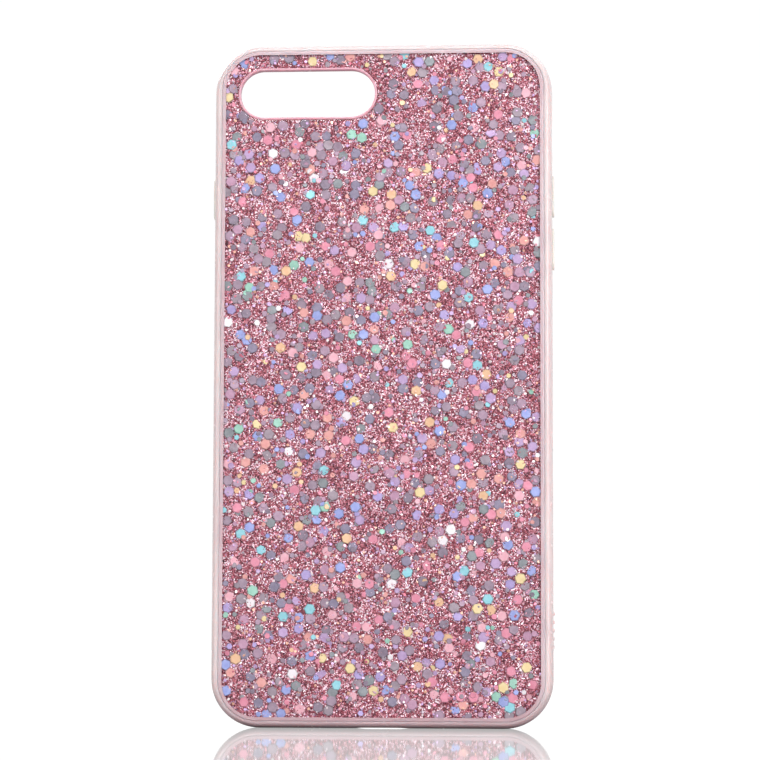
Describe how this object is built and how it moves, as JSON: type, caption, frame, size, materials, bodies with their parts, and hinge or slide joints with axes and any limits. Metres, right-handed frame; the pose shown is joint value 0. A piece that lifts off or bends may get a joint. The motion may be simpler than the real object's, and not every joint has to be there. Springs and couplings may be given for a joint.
{
  "type": "phone case",
  "caption": "Slim soft bumper round a clear hard back filled with rose glitter, with a stadium camera window, side buttons, mute switch opening and charging port, for a 5.5-inch class phone.",
  "frame": {"origin": "middle of the bottom end, on the plane that the bumper stands on, half way through its depth and width", "axes": "+Z along the length, from the charging port end to the camera end; +Y out of the open screen side, so the glitter back faces -Y; +X towards the volume buttons, which are on the right when the back is looked at"},
  "size_m": [0.0812, 0.01, 0.1616],
  "materials": {
    "soft_bumper": "translucent blush moulded soft plastic, satin gloss",
    "soft_button": "clear moulded soft plastic, satin gloss",
    "clear_plate": "clear moulded hard plastic, glossy",
    "bonding_film": "clear pressure-sensitive film",
    "rose_foil": "rose metallised foil, satin",
    "rose_glitter": "fine rose glitter and hexagonal sequins set in resin",
    "clear_coat": "clear cast resin, high gloss"
  },
  "bodies": {
    "bumper": {"bumper_frame": "soft_bumper", "back_plate": "clear_plate", "bonding_film": "bonding_film", "rose_foil": "rose_foil", "glitter_bed": "rose_glitter", "clear_coat": "clear_coat", "camera_collar": "soft_bumper", "volume_up_web": "soft_button", "volume_down_web": "soft_button", "power_web": "soft_button"},
    "volume_up": {"volume_up_button": "soft_button"},
    "volume_down": {"volume_down_button": "soft_button"},
    "power": {"power_button": "soft_button"}
  },
  "joints": [
    {"name": "volume_up_press", "type": "slide", "parent": "bumper", "child": "volume_up", "axis": [-1, 0, 0], "range_m": [0, 0.0004], "stiffness_N_per_m": 500},
    {"name": "volume_down_press", "type": "slide", "parent": "bumper", "child": "volume_down", "axis": [-1, 0, 0], "range_m": [0, 0.0004], "stiffness_N_per_m": 500},
    {"name": "power_press", "type": "slide", "parent": "bumper", "child": "power", "axis": [1, 0, 0], "range_m": [0, 0.0004], "stiffness_N_per_m": 500}
  ]
}
